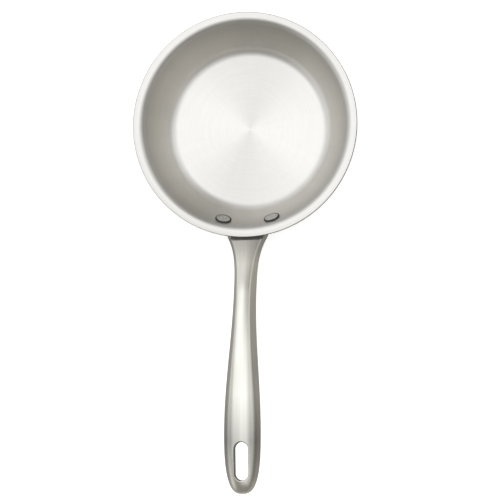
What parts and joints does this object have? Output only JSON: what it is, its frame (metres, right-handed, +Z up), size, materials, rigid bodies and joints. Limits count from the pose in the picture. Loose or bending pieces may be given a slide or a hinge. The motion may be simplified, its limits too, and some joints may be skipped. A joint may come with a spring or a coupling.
{
  "type": "frying pan",
  "caption": "Stainless steel frying pan with a flared three-ply bowl, rolled pouring lip and a riveted cast handle with a hanging slot.",
  "frame": {"origin": "centre of the flat base, on the face that stands on the hob", "axes": "+Z up along the bowl's axis, the handle runs along -Y, X across"},
  "size_m": [0.203, 0.4295, 0.0886],
  "materials": {
    "satin_stainless": "satin, brushed in circles",
    "brushed_stainless": "brushed",
    "aluminium": "plain"
  },
  "bodies": {
    "root": {"inner_ply": "satin_stainless", "core_ply": "aluminium", "outer_ply": "brushed_stainless", "handle": "brushed_stainless", "rivet_left": "satin_stainless", "rivet_right": "satin_stainless"}
  },
  "joints": []
}
